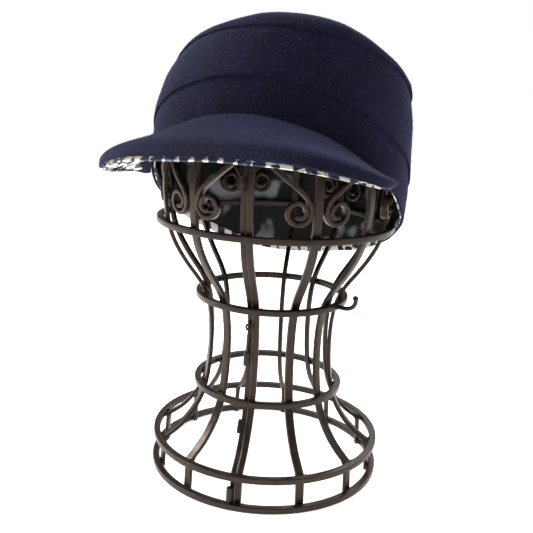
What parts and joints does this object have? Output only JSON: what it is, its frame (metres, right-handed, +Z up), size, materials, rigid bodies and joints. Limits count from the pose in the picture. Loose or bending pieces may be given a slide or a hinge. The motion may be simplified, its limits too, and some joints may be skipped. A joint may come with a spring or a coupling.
{
  "type": "peaked cap on a wire hat stand",
  "caption": "Soft wool cap with a short stiff peak and a printed lining, tipped back on a waisted stand of iron ribs, rings and scrolls.",
  "frame": {"origin": "centre of the footprint of the whole object's box, on the surface that the stand rests on", "axes": "+Z up, -Y towards the cap's front, so the peak is at -Y and +X is the wearer's left"},
  "size_m": [0.2046, 0.2222, 0.3322],
  "materials": {
    "navy_wool": "brushed wool melton, deep navy",
    "checked_cotton": "brushed cotton check, cream and indigo",
    "printed_lining": "smooth printed lining, near black with pale grey shapes",
    "bronzed_iron": "satin lacquer over iron, dark bronze"
  },
  "bodies": {
    "root": {"crown_top": "navy_wool", "crown_side": "navy_wool", "band": "navy_wool", "peak_top": "navy_wool", "peak_under": "checked_cotton", "rim_facing": "checked_cotton", "lining": "printed_lining", "base_ring_low": "bronzed_iron", "base_ring_up": "bronzed_iron", "brow_ring": "bronzed_iron", "hinge_bar": "bronzed_iron", "hinge_barrel_0": "bronzed_iron", "hinge_barrel_1": "bronzed_iron", "hinge_barrel_2": "bronzed_iron", "hinge_barrel_3": "bronzed_iron", "hinge_barrel_4": "bronzed_iron", "neck_ring_low": "bronzed_iron", "neck_ring_up": "bronzed_iron", "rib_00": "bronzed_iron", "rib_01": "bronzed_iron", "rib_02": "bronzed_iron", "rib_03": "bronzed_iron", "rib_04": "bronzed_iron", "rib_05": "bronzed_iron", "rib_06": "bronzed_iron", "rib_07": "bronzed_iron", "rib_08": "bronzed_iron", "rib_09": "bronzed_iron", "rib_10": "bronzed_iron", "rib_11": "bronzed_iron", "scroll_0_left": "bronzed_iron", "scroll_0_right": "bronzed_iron", "scroll_1_left": "bronzed_iron", "scroll_1_right": "bronzed_iron", "scroll_2_left": "bronzed_iron", "scroll_2_right": "bronzed_iron", "scroll_3_left": "bronzed_iron", "scroll_3_right": "bronzed_iron", "scroll_4_left": "bronzed_iron", "scroll_4_right": "bronzed_iron", "scroll_5_left": "bronzed_iron", "scroll_5_right": "bronzed_iron", "side_hook": "bronzed_iron", "top_boss": "bronzed_iron"}
  },
  "joints": []
}
